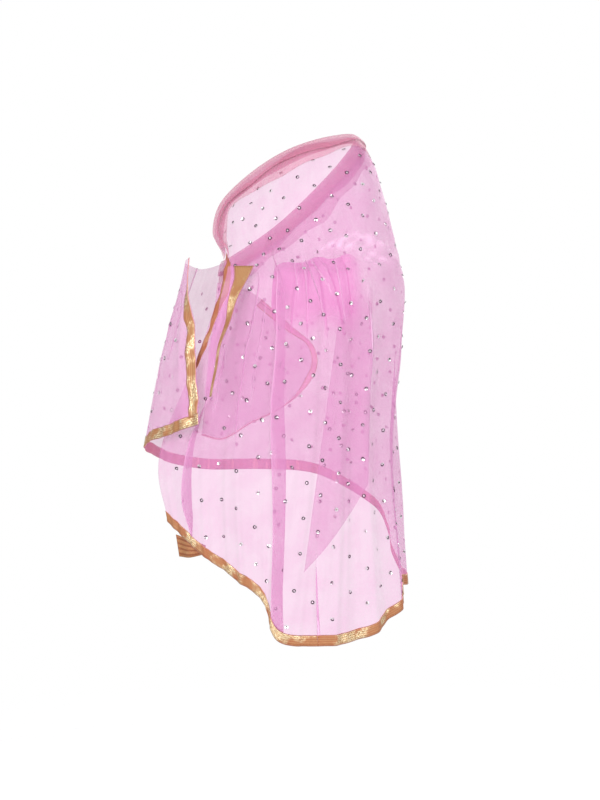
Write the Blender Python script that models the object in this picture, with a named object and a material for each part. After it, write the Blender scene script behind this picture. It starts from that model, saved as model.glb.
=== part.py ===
"""A net dupatta with lace edges, worn across the left shoulder and gathered over the forearm.

The wearer isn't modelled: the cloth keeps the hollow form it takes on a general figure that
faces -Y. The tables are laid out along the held forearm: "along" runs from the hand to the
elbow, "behind" is square to it, and "height" is above the ground the wearer stands on.
"""
import math
from collections import namedtuple

import bmesh
import bpy
import numpy as np

# ---------------------------------------------------------------- driving sizes (metres)
FOREARM_TURN = math.radians(42)   # the forearm's heading, turned about the figure's axis
SHOULDER = (0.100, -0.040, 1.475)  # along, behind, height of the shoulder that carries it
NET_WALL = 0.0012                 # wall of the net
LACE_WALL = 0.0010                # wall of the lace
SEAM_GAP = 0.0003                 # clearance between neighbouring pieces
LACE_WIDTH = 0.025
NECK_FOLD_WIDTH = 0.036           # the doubled strip along the top edge
NECK_FOLD_GAP = 0.0010            # air between the two layers of that strip
CELLS_PER_FALL = 4                # grid cells between two neighbouring falls
DOWN_CELLS = 20                   # grid cells from the fold strip down to the lace
FOLD_EASE = 0.2                   # share of the way down over which a fold comes and goes
NORMAL_STEP = 0.05                # falls to either side that give a fold its direction
LACE_LEVEL = 0.6                  # share of the way down at which side lace has its full width

NET_PINK = (0.86, 0.42, 0.66, 1.0)
FOLD_PINK = (0.80, 0.27, 0.47, 1.0)
LACE_GOLD = (0.62, 0.33, 0.12, 1.0)
LACE_COPPER = (0.55, 0.22, 0.10, 1.0)

# ---------------------------------------------------------------- the cloth, course by course
# Nine falls from the hand round to the back of the left arm; "down" is the share of the
# way from the top edge to the hem.
Course = namedtuple("Course", "name down along behind height")
FRONT_COURSES = [
    Course("neck edge", 0.00,
           (-0.195, -0.216, -0.200, -0.135, -0.053, 0.028, 0.097, 0.108, 0.092),
           (-0.150, -0.020, 0.030, -0.010, -0.050, -0.060, -0.020, 0.030, 0.080),
           (1.225, 1.267, 1.341, 1.403, 1.452, 1.480, 1.494, 1.487, 1.465)),
    Course("collar bone", 0.06,
           (-0.190, -0.198, -0.185, -0.128, -0.050, 0.035, 0.115, 0.148, 0.130),
           (-0.158, -0.055, -0.010, -0.047, -0.095, -0.110, -0.090, -0.020, 0.060),
           (1.218, 1.262, 1.330, 1.374, 1.410, 1.435, 1.455, 1.435, 1.420)),
    Course("bust", 0.14,
           (-0.186, -0.178, -0.160, -0.112, -0.045, 0.040, 0.125, 0.172, 0.162),
           (-0.168, -0.105, -0.075, -0.105, -0.145, -0.165, -0.150, -0.070, 0.030),
           (1.208, 1.248, 1.306, 1.330, 1.345, 1.360, 1.365, 1.350, 1.340)),
    Course("top of forearm", 0.27,
           (-0.188, -0.160, -0.127, -0.085, -0.030, 0.040, 0.120, 0.203, 0.196),
           (-0.186, -0.184, -0.188, -0.194, -0.200, -0.205, -0.205, -0.120, -0.010),
           (1.185, 1.195, 1.199, 1.201, 1.207, 1.215, 1.220, 1.200, 1.195)),
    Course("front of forearm", 0.32,
           (-0.195, -0.155, -0.112, -0.070, -0.020, 0.050, 0.125, 0.212, 0.206),
           (-0.200, -0.225, -0.238, -0.245, -0.250, -0.250, -0.235, -0.140, -0.020),
           (1.140, 1.145, 1.150, 1.150, 1.150, 1.150, 1.150, 1.140, 1.135)),
    Course("hip", 0.47,
           (-0.241, -0.185, -0.125, -0.070, -0.010, 0.060, 0.130, 0.202, 0.204),
           (-0.190, -0.222, -0.238, -0.245, -0.245, -0.240, -0.215, -0.130, -0.020),
           (1.000, 1.000, 1.000, 1.000, 1.000, 1.000, 1.000, 1.000, 1.000)),
    Course("knee", 0.68,
           (-0.335, -0.255, -0.170, -0.090, -0.020, 0.055, 0.120, 0.182, 0.190),
           (-0.130, -0.188, -0.222, -0.235, -0.235, -0.230, -0.205, -0.130, -0.020),
           (0.770, 0.780, 0.780, 0.780, 0.780, 0.780, 0.780, 0.780, 0.790)),
    Course("hem", 1.00,
           (-0.318, -0.241, -0.162, -0.102, -0.068, 0.035, 0.138, 0.208, 0.216),
           (-0.140, -0.190, -0.215, -0.225, -0.230, -0.225, -0.190, -0.120, -0.020),
           (0.612, 0.543, 0.487, 0.439, 0.352, 0.341, 0.360, 0.416, 0.455)),
]

# The cloth goes on from the arm across the back and round the right side to its free end.
Fall = namedtuple("Fall", "name top middle hem")
BACK_FALLS = [
    Fall("behind the arm", (0.065, 0.115, 1.435), (0.178, 0.090, 0.980), (0.221, 0.078, 0.468)),
    Fall("left shoulder blade", (0.010, 0.150, 1.380), (0.115, 0.170, 0.980), (0.165, 0.140, 0.620)),
    Fall("middle of the back", (-0.060, 0.165, 1.315), (0.000, 0.200, 1.000), (0.030, 0.190, 0.705)),
    Fall("right shoulder blade", (-0.130, 0.155, 1.260), (-0.120, 0.190, 0.990), (-0.110, 0.180, 0.720)),
    Fall("right hip", (-0.200, 0.090, 1.210), (-0.240, 0.130, 0.970), (-0.250, 0.120, 0.722)),
    Fall("behind the turn", (-0.245, 0.000, 1.190), (-0.325, 0.035, 0.970), (-0.345, 0.020, 0.750)),
    Fall("turn", (-0.275, -0.085, 1.195), (-0.335, -0.075, 0.980), (-0.374, -0.070, 0.778)),
    Fall("front of the tail", (-0.277, -0.140, 1.200), (-0.308, -0.175, 0.970), (-0.318, -0.175, 0.806)),
    Fall("free end", (-0.265, -0.175, 1.205), (-0.258, -0.225, 0.990), (-0.243, -0.225, 0.832)),
]
ARM_FALL = 8        # where the front ends, behind the left arm
TURN_FALL = 14      # where the back ends and the tail begins
END_FALL = 17       # the free end in the hand

# Folds: "at" and "lean" count falls, "out" is how far the cloth stands proud (or in, if
# negative), "first" and "last" are shares of the way down.
Fold = namedtuple("Fold", "at lean width out first last")
FOLDS = [
    Fold(1.05, -0.25, 0.16, 0.012, 0.45, 1.05),
    Fold(1.60, 0.10, 0.22, -0.010, 0.40, 1.10),
    Fold(2.40, 0.15, 0.18, 0.010, 0.34, 1.10),
    Fold(3.20, 0.10, 0.20, 0.016, 0.30, 1.10),
    Fold(3.70, 0.20, 0.16, -0.012, 0.28, 1.10),
    Fold(4.30, -0.10, 0.20, 0.014, 0.26, 0.70),
    Fold(4.80, 0.10, 0.20, -0.012, 0.26, 1.10),
    Fold(5.30, 0.20, 0.24, 0.012, 0.27, 1.10),
    Fold(6.00, 0.10, 0.24, -0.012, 0.30, 1.10),
    Fold(6.60, -0.10, 0.26, 0.012, 0.32, 1.10),
    Fold(8.60, 0.20, 0.26, 0.010, 0.25, 1.10),
    Fold(9.60, 0.20, 0.30, -0.012, 0.15, 1.10),
    Fold(10.50, 0.10, 0.28, 0.012, 0.20, 1.10),
    Fold(11.50, -0.10, 0.30, -0.010, 0.20, 1.10),
    Fold(12.50, -0.20, 0.30, 0.012, 0.20, 1.10),
    Fold(13.50, 0.00, 0.28, -0.008, 0.30, 1.10),
    Fold(15.60, 0.00, 0.25, 0.008, 0.30, 1.10),
    Fold(16.40, 0.00, 0.25, -0.006, 0.20, 1.10),
]

# The loop of slack under the forearm: the lace edge, from the hand side round to the elbow.
Station = namedtuple("Station", "along behind height")
SWAG_TOP = (Station(-0.205, -0.150, 1.150), Station(-0.140, -0.150, 1.135))
SWAG_EDGE = [
    Station(-0.240, -0.160, 0.806), Station(-0.190, -0.178, 0.798), Station(-0.129, -0.185, 0.833),
    Station(-0.070, -0.188, 0.862), Station(-0.018, -0.188, 0.901), Station(0.018, -0.186, 0.955),
    Station(0.010, -0.182, 1.008), Station(-0.040, -0.178, 1.053), Station(-0.105, -0.172, 1.112),
]

SWAG_BULGE = 0.012                # how far the loop hangs forward, halfway down
SWAG_CELLS = (16, 9)

# The leaf of slack over the forearm: its two long edges, from the top down.
LEAF_INNER = [
    Station(-0.178, -0.236, 1.182), Station(-0.192, -0.262, 1.110), Station(-0.210, -0.264, 1.040),
    Station(-0.222, -0.262, 0.970), Station(-0.229, -0.260, 0.893),
]
LEAF_OUTER = [
    Station(-0.121, -0.240, 1.182), Station(-0.154, -0.270, 1.110), Station(-0.180, -0.275, 1.040),
    Station(-0.199, -0.272, 0.970), Station(-0.213, -0.268, 0.893),
]

LEAF_CELLS = (3, 10)

# The doubled length inside the front: each fall's top and foot.
INNER_FALLS = [
    (Station(0.080, -0.190, 1.160), Station(-0.010, -0.205, 0.502)),
    (Station(0.100, -0.185, 1.162), Station(0.038, -0.202, 0.556)),
    (Station(0.122, -0.175, 1.162), Station(0.084, -0.190, 0.618)),
    (Station(0.145, -0.160, 1.160), Station(0.134, -0.165, 0.697)),
]
INNER_CELLS = (6, 10)             # across, down

# The doubled length gathered over the forearm: falls from over the arm down to the foot.
WRAP_FALLS = [
    (Station(-0.074, -0.176, 1.185), Station(-0.078, -0.222, 1.160),
     Station(-0.082, -0.226, 1.090), Station(-0.070, -0.224, 1.010)),
    (Station(-0.018, -0.182, 1.197), Station(-0.020, -0.228, 1.165),
     Station(-0.022, -0.230, 1.085), Station(-0.020, -0.226, 0.985)),
    (Station(0.038, -0.187, 1.203), Station(0.040, -0.230, 1.165),
     Station(0.042, -0.230, 1.080), Station(0.040, -0.226, 0.975)),
    (Station(0.090, -0.187, 1.208), Station(0.095, -0.222, 1.165),
     Station(0.097, -0.222, 1.085), Station(0.090, -0.216, 0.990)),
    (Station(0.125, -0.170, 1.198), Station(0.130, -0.195, 1.160),
     Station(0.130, -0.196, 1.095), Station(0.125, -0.194, 1.035)),
]
WRAP_CELLS = (10, 8)

# The short length of lace that shows above the neck edge: falls it runs between, and rise.
NECK_LACE_SPAN = (3.75, 5.25)
NECK_LACE_RISE = 0.009
NECK_LACE_DROP = 0.014
NECK_LACE_CELLS = (8, 2)
NECK_STEP = 0.02                  # share of the way down that gives the neck edge its direction

# The lead corner, turned under behind the left end of the front hem: its lace from the turn
# down to the corner, and back along the hem.
CORNER_UPPER = [
    Station(-0.300, -0.122, 0.582), Station(-0.270, -0.142, 0.572), Station(-0.231, -0.160, 0.560),
]
CORNER_LOWER = [
    Station(-0.292, -0.126, 0.532), Station(-0.266, -0.144, 0.531), Station(-0.231, -0.162, 0.540),
]
CORNER_CELLS = (6, 2)

LEAD_LACE_ROWS = range(3, 12)     # grid rows of the lead edge whose lace faces forward


# ---------------------------------------------------------------- curves and surfaces
def smooth_through(rows, places, x):
    """A Catmull-Rom curve through rows that stand at the given places, read at x."""
    places = np.asarray(places, float)
    k = int(np.clip(np.searchsorted(places, x, side="right") - 1, 0, len(places) - 2))
    p0, p1, p2, p3 = (rows[int(np.clip(k + d, 0, len(rows) - 1))] for d in (-1, 0, 1, 2))
    span = places[k + 1] - places[k]
    f = (x - places[k]) / span
    before = places[k + 1] - places[max(k - 1, 0)]
    after = places[min(k + 2, len(places) - 1)] - places[k]
    slope1 = (p2 - p0) * span / before
    slope2 = (p3 - p1) * span / after
    f2, f3 = f * f, f * f * f
    return ((2 * f3 - 3 * f2 + 1) * p1 + (f3 - 2 * f2 + f) * slope1
            + (3 * f2 - 2 * f3) * p2 + (f3 - f2) * slope2)


def stations_of(courses, falls):
    """One array of stations: a row for each course, a column for each fall."""
    rows = []
    for course in courses:
        front = np.stack([course.along, course.behind, course.height], axis=1)
        back = [smooth_through([np.array(p) for p in (fall.top, fall.middle, fall.hem)],
                               (0.0, 0.5, 1.0), course.down) for fall in falls]
        rows.append(np.vstack([front, back]))
    return np.array(rows)


STATIONS = stations_of(FRONT_COURSES, BACK_FALLS)
COURSE_PLACES = [course.down for course in FRONT_COURSES]


def window(x, first, last, ease):
    """1 between first and last, easing to 0 outside them."""
    rise = np.clip((x - first) / ease, 0, 1)
    drop = np.clip((last - x) / ease, 0, 1)
    return rise * rise * (3 - 2 * rise) * drop * drop * (3 - 2 * drop)


def smooth_cloth(fall, down):
    """The draped cloth without its folds, at a fall (0 to 17) and a share of the way down."""
    row = [smooth_through(course, range(len(course)), fall) for course in STATIONS]
    return smooth_through(row, COURSE_PLACES, down)


def cloth(fall, down):
    """The draped cloth with its folds."""
    point = smooth_cloth(fall, down)
    lift = 0.0
    for fold in FOLDS:
        middle = fold.at + fold.lean * (down - 0.5)
        lift += (fold.out * math.exp(-((fall - middle) / fold.width) ** 2)
                 * window(down, fold.first, fold.last, FOLD_EASE))
    across = (smooth_cloth(min(fall + NORMAL_STEP, END_FALL), down)
              - smooth_cloth(max(fall - NORMAL_STEP, 0), down))
    outward = np.array([across[1], -across[0], 0.0])
    return point + lift * outward / max(np.linalg.norm(outward), 1e-9)


def even_downs(fall, distances):
    """Shares of the way down at which a fall has run given lengths (the last two count from the hem)."""
    downs = np.linspace(0, 1, 90)
    points = np.array([smooth_cloth(fall, d) for d in downs])
    run = np.concatenate([[0], np.cumsum(np.linalg.norm(np.diff(points, axis=0), axis=1))])
    return np.interp([d(run[-1]) for d in distances], run, downs)


def cloth_grid(first_fall, last_fall, free_end=False, held_end=False):
    """Points of a stretch between two falls: columns along the cloth, rows from neck edge to hem."""
    falls = list(np.linspace(first_fall, last_fall, round((last_fall - first_fall) * CELLS_PER_FALL) + 1))
    if free_end:    # a column where the lace of the free end begins
        reach = np.linalg.norm(smooth_cloth(falls[-1], LACE_LEVEL) - smooth_cloth(falls[-2], LACE_LEVEL))
        falls[-2] = falls[-1] - (falls[-1] - falls[-2]) * LACE_WIDTH / reach
    if held_end:    # a column where the lace of the held end begins
        reach = np.linalg.norm(smooth_cloth(falls[1], LACE_LEVEL) - smooth_cloth(falls[0], LACE_LEVEL))
        falls[1] = falls[0] + (falls[1] - falls[0]) * LACE_WIDTH / reach
    marks = [lambda length: 0.0]
    for row in range(DOWN_CELLS + 1):
        share = row / DOWN_CELLS
        marks.append(lambda length, share=share:
                     NECK_FOLD_WIDTH + share * (length - LACE_WIDTH - NECK_FOLD_WIDTH))
    marks.append(lambda length: length)
    return np.array([[cloth(fall, down) for down in even_downs(fall, marks)] for fall in falls])


def loft_grid(lines, across, rows, last_row=None):
    """Points between lines that run down side by side; last_row sets the length of the lowest cells."""
    lines = [[np.array(s) for s in line] for line in lines]
    places = np.linspace(0, 1, len(lines))

    def point(a, d):
        return smooth_through([smooth_through(line, np.linspace(0, 1, len(line)), d) for line in lines],
                              places, a)

    grid = []
    shares = np.linspace(0, 1, 40)
    for a in np.linspace(0, 1, across + 1):
        run = np.array([point(a, d) for d in shares])
        length = np.concatenate([[0], np.cumsum(np.linalg.norm(np.diff(run, axis=0), axis=1))])
        if last_row is None:
            marks = np.linspace(0, length[-1], rows + 1)
        else:
            marks = np.append(np.linspace(0, length[-1] - last_row, rows), length[-1])
        grid.append([point(a, d) for d in np.interp(marks, length, shares)])
    return np.array(grid)


# ---------------------------------------------------------------- thin closed solids
def unit(v):
    return v / np.maximum(np.linalg.norm(v, axis=-1, keepdims=True), 1e-12)


def grid_normals(grid):
    """Outward normals of a grid whose columns run round the figure from right to left."""
    across = np.gradient(grid, axis=0)
    down = np.gradient(grid, axis=1)
    return unit(np.cross(down, across))


def inset(grid, sides, amount):
    """Pull the named sides of a grid in along the cloth."""
    grid = grid.copy()
    if "first" in sides:
        grid[0] += amount * unit(grid[1] - grid[0])
    if "last" in sides:
        grid[-1] += amount * unit(grid[-2] - grid[-1])
    return grid


def to_world(points):
    """Forearm layout to the row's own frame, with the origin at the shoulder."""
    moved = np.asarray(points, float) - np.array(SHOULDER)
    c, s = math.cos(FOREARM_TURN), math.sin(FOREARM_TURN)
    return np.stack([moved[..., 0] * c - moved[..., 1] * s,
                     moved[..., 0] * s + moved[..., 1] * c, moved[..., 2]], axis=-1)


def make_material(name, colour, roughness, metallic):
    material = bpy.data.materials.new(name)
    material.use_nodes = True
    shader = material.node_tree.nodes["Principled BSDF"]
    shader.inputs["Base Color"].default_value = colour
    shader.inputs["Roughness"].default_value = roughness
    shader.inputs["Metallic"].default_value = metallic
    return material


def thin_solid(name, grid, normals, wall, lift, material, cells=None):
    """A closed wall over the chosen cells of a grid, lifted off it along the normals."""
    columns, rows = grid.shape[:2]
    if cells is None:
        cells = {(i, j) for i in range(columns - 1) for j in range(rows - 1)}
    outer = to_world(grid + normals * (lift + wall / 2))
    inner = to_world(grid + normals * (lift - wall / 2))
    mesh = bmesh.new()
    corner = {}
    for i, j in sorted(cells):
        for point in ((i, j), (i + 1, j), (i + 1, j + 1), (i, j + 1)):
            if point not in corner:
                corner[point] = (mesh.verts.new(outer[point]), mesh.verts.new(inner[point]))
    for i, j in sorted(cells):
        ring = [(i, j), (i, j + 1), (i + 1, j + 1), (i + 1, j)]
        mesh.faces.new([corner[p][0] for p in ring])
        mesh.faces.new([corner[p][1] for p in reversed(ring)])
        neighbours = ((i - 1, j), (i, j + 1), (i + 1, j), (i, j - 1))
        for k, neighbour in enumerate(neighbours):
            if neighbour in cells:
                continue
            p, q = ring[k], ring[(k + 1) % 4]
            mesh.faces.new([corner[q][0], corner[p][0], corner[p][1], corner[q][1]])
    bmesh.ops.triangulate(mesh, faces=mesh.faces)
    data = bpy.data.meshes.new(name)
    mesh.to_mesh(data)
    mesh.free()
    data.materials.append(material)
    data.shade_smooth()
    piece = bpy.data.objects.new(name, data)
    bpy.context.scene.collection.objects.link(piece)
    return piece


def block(columns, rows):
    """The cells of a range of columns and rows."""
    return {(i, j) for i in columns for j in rows}


# ---------------------------------------------------------------- the pieces
def build():
    for item in list(bpy.data.objects):
        bpy.data.objects.remove(item, do_unlink=True)
    net = make_material("net", NET_PINK, 0.6, 0.0)
    fold_net = make_material("folded_net", FOLD_PINK, 0.6, 0.0)
    gold = make_material("lace", LACE_GOLD, 0.4, 0.7)
    copper = make_material("lace_reverse", LACE_COPPER, 0.5, 0.5)
    on_net = NET_WALL / 2 + SEAM_GAP + LACE_WALL / 2
    half_gap = SEAM_GAP / 2

    front = cloth_grid(0, ARM_FALL, held_end=True)
    back = cloth_grid(ARM_FALL, TURN_FALL)
    tail = cloth_grid(TURN_FALL, END_FALL, free_end=True)
    whole = np.vstack([front, back[1:], tail[1:]])
    normals = grid_normals(whole)
    arm = len(front) - 1
    turn = arm + len(back) - 1
    last_row = whole.shape[1] - 1

    def stretch(first, last, sides):
        return inset(whole[first:last + 1], sides, half_gap), normals[first:last + 1]

    front_grid, front_normals = stretch(0, arm, ("last",))
    back_grid, back_normals = stretch(arm, turn, ("first", "last"))
    tail_grid, tail_normals = stretch(turn, len(whole) - 1, ("first",))
    thin_solid("front_drape", front_grid, front_normals, NET_WALL, 0, net)
    thin_solid("back_drape", back_grid, back_normals, NET_WALL, 0, net)
    thin_solid("tail_drape", tail_grid, tail_normals, NET_WALL, 0, net)

    hem_row = [last_row - 1]
    thin_solid("front_hem_lace", front_grid, front_normals, LACE_WALL, on_net, gold,
               block(range(arm), hem_row))
    thin_solid("back_hem_lace", back_grid, back_normals, LACE_WALL, on_net, gold,
               block(range(turn - arm), hem_row))
    tail_columns = len(tail_grid) - 1
    thin_solid("tail_lace", tail_grid, tail_normals, LACE_WALL, on_net, gold,
               block(range(tail_columns), hem_row) | block([tail_columns - 1], range(last_row)))
    thin_solid("lead_lace", front_grid, front_normals, LACE_WALL, on_net, copper,
               block([0], LEAD_LACE_ROWS))

    thin_solid("neck_fold", whole, normals, NET_WALL, NET_WALL + NECK_FOLD_GAP, fold_net,
               block(range(turn - CELLS_PER_FALL), [0]))

    inside = -(NET_WALL + NECK_FOLD_GAP + LACE_WALL)
    first_fall, last_fall = NECK_LACE_SPAN
    neck = []
    for share_along in np.linspace(0, 1, NECK_LACE_CELLS[0] + 1):
        fall = first_fall + (last_fall - first_fall) * share_along
        rise = NECK_LACE_RISE * math.sin(math.pi * share_along)
        edge = cloth(fall, 0.0)
        down = unit(cloth(fall, NECK_STEP) - edge)
        neck.append([edge + down * (NECK_LACE_DROP * share - rise * (1 - share))
                     for share in np.linspace(0, 1, NECK_LACE_CELLS[1] + 1)])
    neck = np.array(neck)
    thin_solid("neck_lace", neck, grid_normals(neck), LACE_WALL, inside, gold)

    rays = []
    for k, edge in enumerate(SWAG_EDGE):
        share = k / (len(SWAG_EDGE) - 1)
        top = np.array(SWAG_TOP[0]) * (1 - share) + np.array(SWAG_TOP[1]) * share
        middle = (top + np.array(edge)) / 2 - np.array([0, SWAG_BULGE, 0])
        rays.append([top, middle, np.array(edge)])
    swag = loft_grid(rays, *SWAG_CELLS, last_row=LACE_WIDTH)
    swag_normals = grid_normals(swag)
    thin_solid("forearm_swag", swag, swag_normals, NET_WALL, 0, net)
    thin_solid("swag_lace", swag, swag_normals, LACE_WALL, on_net, copper,
               block(range(SWAG_CELLS[0]), [SWAG_CELLS[1] - 1]))

    leaf = loft_grid([LEAF_INNER, LEAF_OUTER], *LEAF_CELLS)
    leaf_normals = grid_normals(leaf)
    thin_solid("forearm_leaf", leaf, leaf_normals, NET_WALL, 0, net)
    thin_solid("leaf_lace", leaf, leaf_normals, LACE_WALL, on_net, gold,
               block([LEAF_CELLS[0] - 1], range(LEAF_CELLS[1])))

    corner = loft_grid(list(zip(CORNER_UPPER, CORNER_LOWER)), *CORNER_CELLS)
    thin_solid("lead_corner", corner, grid_normals(corner), LACE_WALL, 0, copper)

    wrap = loft_grid(WRAP_FALLS, *WRAP_CELLS)
    thin_solid("forearm_wrap", wrap, grid_normals(wrap), NET_WALL, 0, fold_net)

    inner = loft_grid(INNER_FALLS, *INNER_CELLS)
    thin_solid("inner_fall", inner, grid_normals(inner), NET_WALL, 0, fold_net)


build()
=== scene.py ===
# A net dupatta worn over one shoulder: sheer pink net, woven gold lace and small mirror sequins.
# It is laid out along the held forearm: "along" from hand to elbow, "behind" square to it,
# and "height" above the ground that the wearer stands on.
import math

import bpy
import numpy as np
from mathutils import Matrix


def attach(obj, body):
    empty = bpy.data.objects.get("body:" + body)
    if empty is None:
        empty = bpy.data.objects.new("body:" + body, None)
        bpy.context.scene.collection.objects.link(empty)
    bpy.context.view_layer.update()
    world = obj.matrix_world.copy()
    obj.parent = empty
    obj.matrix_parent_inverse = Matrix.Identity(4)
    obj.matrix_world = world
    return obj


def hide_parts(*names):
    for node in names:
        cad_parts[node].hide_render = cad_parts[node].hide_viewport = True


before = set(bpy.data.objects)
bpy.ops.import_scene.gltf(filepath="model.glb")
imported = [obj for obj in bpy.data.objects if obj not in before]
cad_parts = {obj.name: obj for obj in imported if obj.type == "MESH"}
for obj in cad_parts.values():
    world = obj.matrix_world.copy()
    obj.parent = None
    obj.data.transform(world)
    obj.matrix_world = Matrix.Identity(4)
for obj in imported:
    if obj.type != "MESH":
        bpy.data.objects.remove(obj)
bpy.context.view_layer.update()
for thing in bpy.context.selected_objects:
    thing.select_set(False)

layout = {
    "forearmTurn": math.radians(42),
    "shoulder": (0.100, -0.040, 1.475),   # the point that carries the cloth: along, behind, height
    "fallWidth": 0.065,                   # from one fall to the next
}

wall = {
    "net": 0.0006,
    "lace": 0.0008,
    "gap": 0.0003,
}


def toRow(points):
    # forearm layout to the frame's own axes
    moved = np.asarray(points, float) - np.array(layout["shoulder"])
    c, s = math.cos(layout["forearmTurn"]), math.sin(layout["forearmTurn"])
    return np.stack([moved[..., 0] * c - moved[..., 1] * s,
                     moved[..., 0] * s + moved[..., 1] * c, moved[..., 2]], axis=-1)


# camera, light and ground
view = {
    "distance": 5.0,
    "aim": (-0.019, 0.0, 0.886),    # the point in the middle of the view
    "seen": 1.856,                  # metres from the bottom of the view to its top
    "sensor": 36.0,
    "floorReach": 2.4,
}


def addCamera():
    camera = bpy.data.cameras.new("camera")
    holder = bpy.data.objects.new("camera", camera)
    bpy.context.scene.collection.objects.link(holder)
    a, b, h = view["aim"]
    holder.location = toRow((a, b - view["distance"], h))
    holder.rotation_euler = (math.pi / 2, 0, layout["forearmTurn"])
    camera.sensor_width = view["sensor"]
    camera.lens = view["sensor"] * view["distance"] / view["seen"]
    bpy.context.scene.camera = holder


lights = [
    # name, along, behind, height, size, watts
    ("key", -1.8, -3.0, 2.1, 1.8, 72),
    ("fill", 2.4, -2.8, 1.7, 2.2, 58),
    ("rim", 1.4, 2.8, 2.6, 1.4, 60),
]


def addLights():
    target = np.array(toRow((0.0, 0.0, 0.95)))
    for name, along, behind, height, size, watts in lights:
        lamp = bpy.data.lights.new(name, "AREA")
        lamp.size = size
        lamp.energy = watts
        holder = bpy.data.objects.new(name, lamp)
        bpy.context.scene.collection.objects.link(holder)
        place = np.array(toRow((along, behind, height)))
        holder.location = place
        aim = target - place
        holder.rotation_euler = (
            math.atan2(math.hypot(aim[0], aim[1]), -aim[2]), 0, math.atan2(aim[1], aim[0]) - math.pi / 2)


# node helpers
class Value:
    # a socket that does sums: numbers and other values may stand on either side
    def __init__(self, tree, socket):
        self.tree = tree
        self.socket = socket

    def sum(self, operation, *others):
        return self.tree.node("ShaderNodeMath", {"operation": operation}, self, *others)

    def __add__(self, other):
        return self.sum("ADD", other)

    def __mul__(self, other):
        return self.sum("MULTIPLY", other)

    def __sub__(self, other):
        return self.sum("SUBTRACT", other)

    def __rsub__(self, other):
        return self.tree.node("ShaderNodeMath", {"operation": "SUBTRACT"}, other, self)

    def __truediv__(self, other):
        return self.sum("DIVIDE", other)

    __radd__ = __add__
    __rmul__ = __mul__

    def sine(self):
        return self.sum("SINE")

    def size(self):
        return self.sum("ABSOLUTE")

    def smooth(self, low, high):
        node = {"interpolation_type": "SMOOTHSTEP"}
        return self.tree.node("ShaderNodeMapRange", node, self, low, high, 0.0, 1.0)


class Tree:
    def __init__(self, name):
        self.material = bpy.data.materials.new(name)
        self.material.use_nodes = True
        self.nodes = self.material.node_tree.nodes
        self.links = self.material.node_tree.links
        self.shader = self.nodes["Principled BSDF"]

    def put(self, socket, value):
        if isinstance(value, Value):
            self.links.new(value.socket, socket)
        else:
            socket.default_value = value

    def node(self, kind, settings, *values, out=0, **named):
        made = self.nodes.new(kind)
        for key, setting in settings.items():
            setattr(made, key, setting)
        for socket, value in zip(made.inputs, values):
            self.put(socket, value)
        for key, value in named.items():
            self.put(made.inputs[key.replace("_", " ")], value)
        return Value(self, made.outputs[out])

    def clothPlace(self):
        # metres along the flat cloth, metres across or down it, and both together
        place = self.node("ShaderNodeUVMap", {"uv_map": "cloth"})
        return (self.node("ShaderNodeSeparateXYZ", {}, place, out=0),
                self.node("ShaderNodeSeparateXYZ", {}, place, out=1), place)

    def objectPlace(self):
        return self.node("ShaderNodeTexCoord", {}, out=3)

    def noise(self, place, scale, detail=2.0):
        return self.node("ShaderNodeTexNoise", {}, Vector=place, Scale=scale, Detail=detail)

    def stretched(self, place, alongScale, acrossScale, detail=2.0):
        # noise whose spots are longer one way than the other
        scaled = self.node("ShaderNodeMapping", {}, Vector=place, Scale=(alongScale, acrossScale, 1.0))
        return self.noise(scaled, 1.0, detail)

    def mix(self, factor, first, second):
        made = self.nodes.new("ShaderNodeMix")
        made.data_type = "RGBA"
        self.put(made.inputs[0], factor)
        self.put(made.inputs[6], first)
        self.put(made.inputs[7], second)
        return Value(self, made.outputs[2])

    def set(self, **sockets):
        for key, value in sockets.items():
            self.put(self.shader.inputs[key.replace("_", " ")], value)
        return self.material


netLook = {
    "pink": (0.70, 0.26, 0.54, 1),
    "palePink": (0.72, 0.30, 0.57, 1),
    "litPink": (0.95, 0.36, 0.75, 1),
    "rosePink": (0.74, 0.28, 0.42, 1),
    # the pale pink of the painted highlight along folds
    "paintedHighlightPink": (1.0, 0.66, 0.90, 1),
    "mesh": 0.0016,         # one hole of the net
    "cover": 0.26,          # how much one side of the cloth hides
    "threadCover": 0.02,    # the threads between the holes hide a little more
    "foldCover": 0.20,      # and so do the edges of folds
    "cloud": 14.0,          # patches of fuller colour to a metre
    "streak": (60.0, 3.0),  # drawn threads to a metre, along the cloth and down it
    "nap": 90.0,
    "relief": 0.0006,
}


def netMaterial(name, tone="pink", cover=1.0, fadeIn=None, fadeOut=None, fadeSide=None):
    # fadeIn and fadeOut: distances down the cloth between which it thins to nothing;
    # fadeSide: the same along it
    t = Tree(name)
    u, v, place = t.clothPlace()
    turn = 2 * math.pi / netLook["mesh"]
    threads = ((u * turn).sine() * (v * turn).sine()).size()
    threads = 1 - threads.smooth(0.0, 0.55)
    cloud = t.noise(place, netLook["cloud"]).smooth(0.3, 0.7)
    streak = t.stretched(place, *netLook["streak"])
    alpha = (netLook["cover"] * 0.78 + cloud * (netLook["cover"] * 0.2)
             + streak * (netLook["cover"] * 0.25) + threads * netLook["threadCover"]) * cover
    if fadeIn:
        alpha = alpha * v.smooth(*fadeIn)
    if fadeOut:
        alpha = alpha * (1 - v.smooth(*fadeOut))
    if fadeSide:
        alpha = alpha * (1 - u.smooth(*fadeSide))
    # foldLight is a painted highlight along fold edges and creases: it adds cover and turns the colour to a
    # pale pink
    foldLight = t.node("ShaderNodeAttribute", {"attribute_name": "foldLight"}, out=2)
    alpha = alpha + foldLight * netLook["foldCover"]
    pale = netLook["palePink"] if tone == "pink" else netLook[tone]
    colour = t.mix(foldLight, t.mix(cloud * 0.6, pale, netLook[tone]), netLook["paintedHighlightPink"])
    bump = t.node("ShaderNodeBump", {}, Strength=0.25, Distance=netLook["relief"],
                  Height=threads * 0.4 + t.noise(place, netLook["nap"]))
    return t.set(Base_Color=colour, Alpha=alpha, Roughness=0.62, Normal=bump,
                 Sheen_Weight=0.08, Sheen_Roughness=0.4)


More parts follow.
